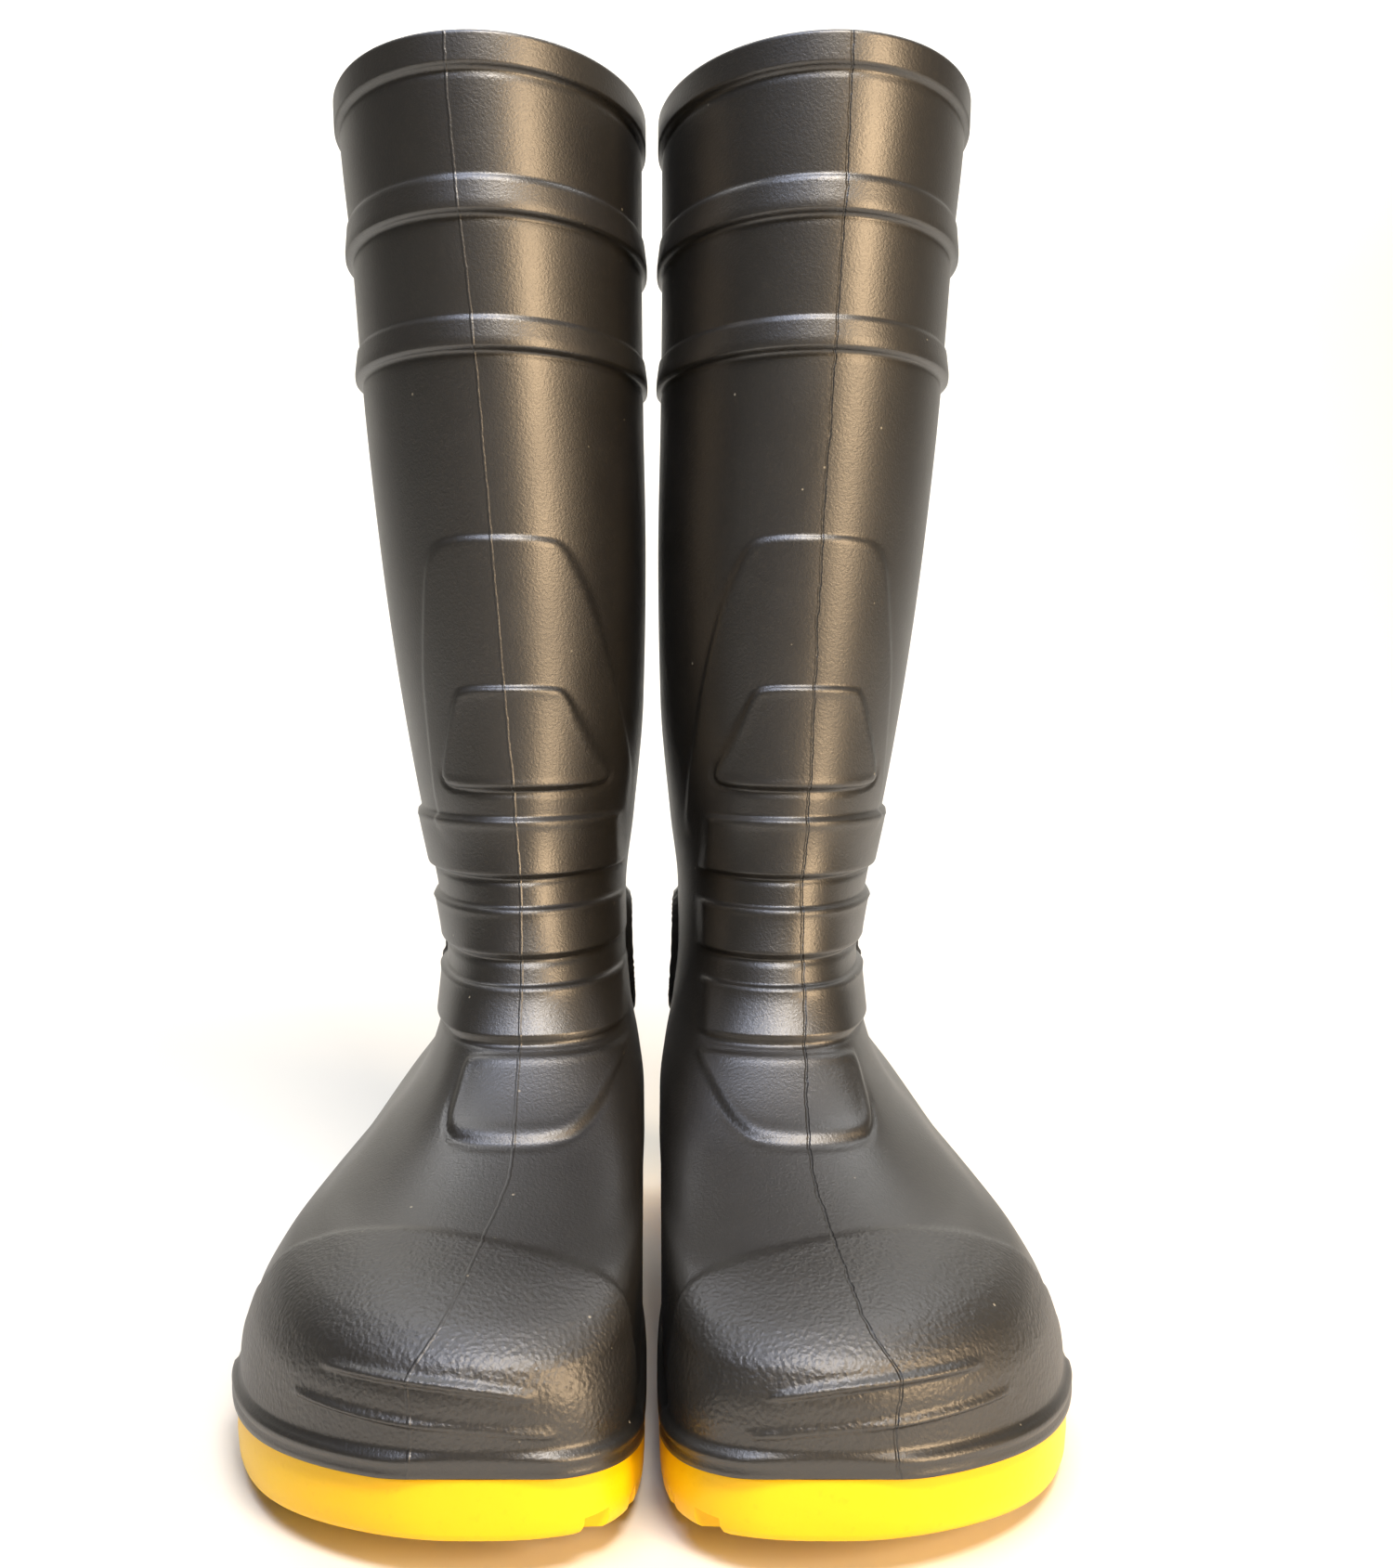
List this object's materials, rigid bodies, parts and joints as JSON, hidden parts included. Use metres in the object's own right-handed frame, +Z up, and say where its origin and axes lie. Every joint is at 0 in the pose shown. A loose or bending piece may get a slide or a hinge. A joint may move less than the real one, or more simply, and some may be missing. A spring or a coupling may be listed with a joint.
{
  "type": "fire boots",
  "caption": "Pair of tall moulded safety boots: ribbed black shafts, padded ankles, steel toe caps and plates, knitted linings, lift-out footbeds and bright cleated outsoles.",
  "frame": {"origin": "on the floor, at the middle of the pair's outline", "axes": "+Z up the legs, toes towards -Y, wearer's left boot on +X"},
  "size_m": [0.23, 0.2978, 0.4],
  "materials": {
    "black_pvc": "satin",
    "yellow_rubber": "satin",
    "cap_steel": "pressed and oiled",
    "plate_steel": "rolled",
    "edging_rubber": "matt",
    "pad_foam": "foamed",
    "board_fibre": "fibrous",
    "lining_knit": "knitted",
    "footbed_felt": "needled felt on foam"
  },
  "bodies": {
    "right_boot": {"right_upper": "black_pvc", "right_outsole": "yellow_rubber", "right_toe_cap": "cap_steel", "right_toe_cap_edging": "edging_rubber", "right_midsole_plate": "plate_steel", "right_shank": "plate_steel", "right_heel_pad": "pad_foam", "right_insole_board": "board_fibre", "right_lining": "lining_knit"},
    "left_boot": {"left_upper": "black_pvc", "left_outsole": "yellow_rubber", "left_toe_cap": "cap_steel", "left_toe_cap_edging": "edging_rubber", "left_midsole_plate": "plate_steel", "left_shank": "plate_steel", "left_heel_pad": "pad_foam", "left_insole_board": "board_fibre", "left_lining": "lining_knit"},
    "right_footbed": {"right_insole": "footbed_felt"},
    "left_footbed": {"left_insole": "footbed_felt"}
  },
  "joints": [
    {"name": "left_lift", "type": "slide", "parent": "right_boot", "child": "left_boot", "axis": [0, 0, 1], "range_m": [0, 0.45]},
    {"name": "right_footbed_lift", "type": "hinge", "parent": "right_boot", "child": "right_footbed", "pos_m": [-0.0575, -0.1375, 0.0285], "axis": [1, 0, 0], "range_deg": [0, 4]},
    {"name": "left_footbed_lift", "type": "hinge", "parent": "left_boot", "child": "left_footbed", "pos_m": [0.0575, -0.1375, 0.0285], "axis": [1, 0, 0], "range_deg": [0, 4]}
  ]
}
